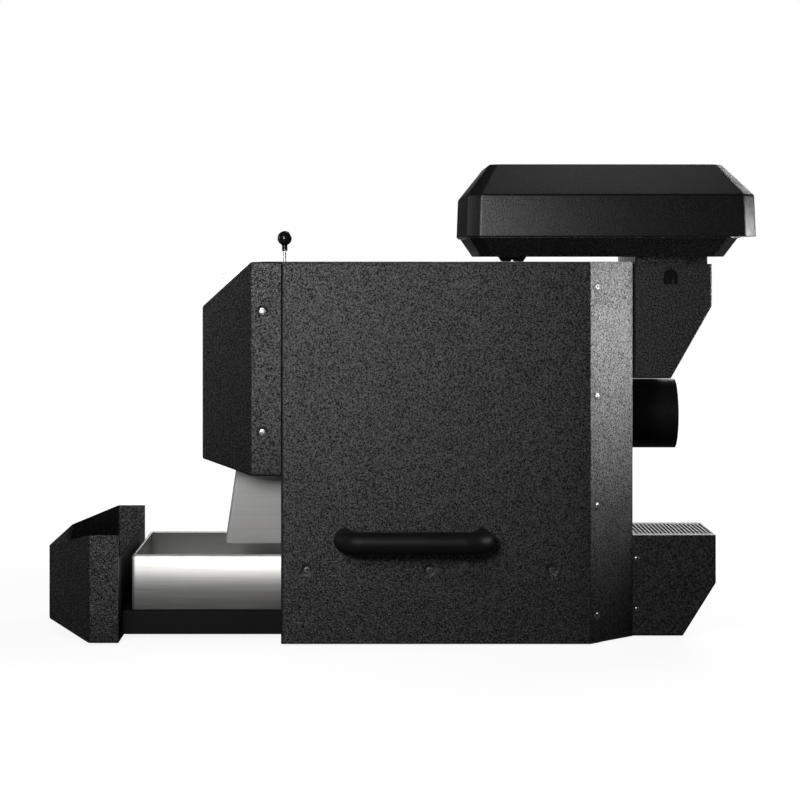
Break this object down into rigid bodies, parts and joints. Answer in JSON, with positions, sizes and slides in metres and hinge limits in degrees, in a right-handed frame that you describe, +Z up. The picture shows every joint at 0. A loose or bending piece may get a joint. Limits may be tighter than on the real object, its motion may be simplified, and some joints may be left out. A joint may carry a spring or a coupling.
{
  "type": "home coffee bean roaster",
  "caption": "Countertop drum coffee roaster in folded black sheet: hopper hood, bean chute, pull-out cooling drawer, carrying handles, rear ducts and a hinged chaff box.",
  "frame": {"origin": "under the middle of the machine's box, on the surface it stands on, with the drawer out", "axes": "+X from the drawer towards the exhaust spigot, +Y across to the far side, +Z up"},
  "size_m": [0.7168, 0.3716, 0.4845],
  "materials": {
    "black_texture": "fine textured powder coat",
    "black_smooth": "satin powder coat",
    "steel_brushed": "brushed",
    "steel_plain": "mill finish",
    "zinc": "zinc plated",
    "bright": "polished",
    "drum_steel": "heat dulled",
    "black_plastic": "moulded",
    "gloss_black": "polished",
    "rubber": "moulded",
    "panel_glass": "smooth",
    "quartz": "clear",
    "board": "varnished",
    "gear_metal": "machined",
    "alu": "anodised"
  },
  "bodies": {
    "housing": {"base_plate": "black_texture", "rubber_feet": "rubber", "side_panel_left": "black_texture", "side_panel_right": "black_texture", "handle_plates": "black_texture", "carry_handles": "black_plastic", "rear_panel": "black_texture", "top_cover": "black_texture", "front_bulkhead": "black_smooth", "front_hood": "black_texture", "control_panel": "panel_glass", "hopper_chute": "steel_brushed", "discharge_chute": "steel_brushed", "gate_guides": "steel_plain", "door_bracket": "steel_plain", "drawer_rails": "zinc", "oven_shell": "steel_plain", "drum_rear_plate": "steel_plain", "drum_front_plate": "steel_plain", "bean_probe": "bright", "bearing_housing": "alu", "shaft_bearings": "bright", "gear_motor": "zinc", "motor_bracket": "zinc", "heaters": "quartz", "heat_reflector": "alu", "drum_duct": "steel_plain", "exhaust_duct": "black_texture", "exhaust_spigot": "black_smooth", "fan_frames": "black_plastic", "exhaust_plenum": "zinc", "rear_cowl": "black_texture", "cowl_grille": "black_smooth", "power_inlet": "black_plastic", "switch_frame": "black_plastic", "circuit_boards": "board", "casing_screws": "zinc"},
    "drawer": {"drawer_front": "black_texture", "drawer_back": "black_smooth", "drawer_base": "black_smooth", "cooling_tray": "steel_brushed", "tray_floor": "steel_brushed", "drawer_runners": "zinc"},
    "drum": {"drum_shell": "drum_steel", "drum_vanes": "drum_steel", "drum_shaft": "bright", "drum_gear": "gear_metal"},
    "pinion": {"motor_pinion": "gear_metal"},
    "exhaust_rotor": {"exhaust_impeller": "black_plastic"},
    "cooling_rotor": {"cooling_impeller": "black_plastic"},
    "gate": {"gate_plate": "steel_plain", "gate_rod": "bright", "gate_knob": "gloss_black"},
    "door": {"discharge_door": "steel_plain"},
    "chaff_box": {"chaff_tray": "black_texture", "chaff_screen": "steel_brushed", "box_foot": "black_smooth", "hinge_base": "zinc"},
    "chaff_lid": {"chaff_cover": "black_texture"},
    "rocker": {"switch_rocker": "gloss_black"}
  },
  "joints": [
    {"name": "drawer_slide", "type": "slide", "parent": "housing", "child": "drawer", "axis": [1, 0, 0], "range_m": [0, 0.1625]},
    {"name": "drum_spin", "type": "hinge", "parent": "housing", "child": "drum", "pos_m": [0, 0, 0.267], "axis": [1, 0, 0], "continuous": true},
    {"name": "pinion_spin", "type": "hinge", "parent": "housing", "child": "pinion", "pos_m": [0.12, 0.063, 0.267], "axis": [1, 0, 0], "continuous": true},
    {"name": "exhaust_fan_spin", "type": "hinge", "parent": "housing", "child": "exhaust_rotor", "pos_m": [0.22, 0, 0.2235], "axis": [1, 0, 0], "continuous": true},
    {"name": "cooling_fan_spin", "type": "hinge", "parent": "housing", "child": "cooling_rotor", "pos_m": [0.25, -0.036, 0.054], "axis": [1, 0, 0], "continuous": true},
    {"name": "gate_lift", "type": "slide", "parent": "housing", "child": "gate", "axis": [0, 0, 1], "range_m": [0, 0.03]},
    {"name": "door_swing", "type": "hinge", "parent": "housing", "child": "door", "pos_m": [-0.12175, 0, 0.2314], "axis": [0, 1, 0], "range_deg": [0, 50]},
    {"name": "chaff_box_lift", "type": "slide", "parent": "housing", "child": "chaff_box", "axis": [0, 0, 1], "range_m": [0, 0.06]},
    {"name": "lid_hinge", "type": "hinge", "parent": "chaff_box", "child": "chaff_lid", "pos_m": [0.34715, 0, 0.4061], "axis": [0, 1, 0], "range_deg": [0, 75]},
    {"name": "rocker_tilt", "type": "hinge", "parent": "housing", "child": "rocker", "pos_m": [0.23645, 0.062, 0.078], "axis": [0, 1, 0], "range_deg": [-8, 0]}
  ],
  "couplings": [
    {"joint": "pinion_spin", "follows": "drum_spin", "ratio": -3.2}
  ]
}
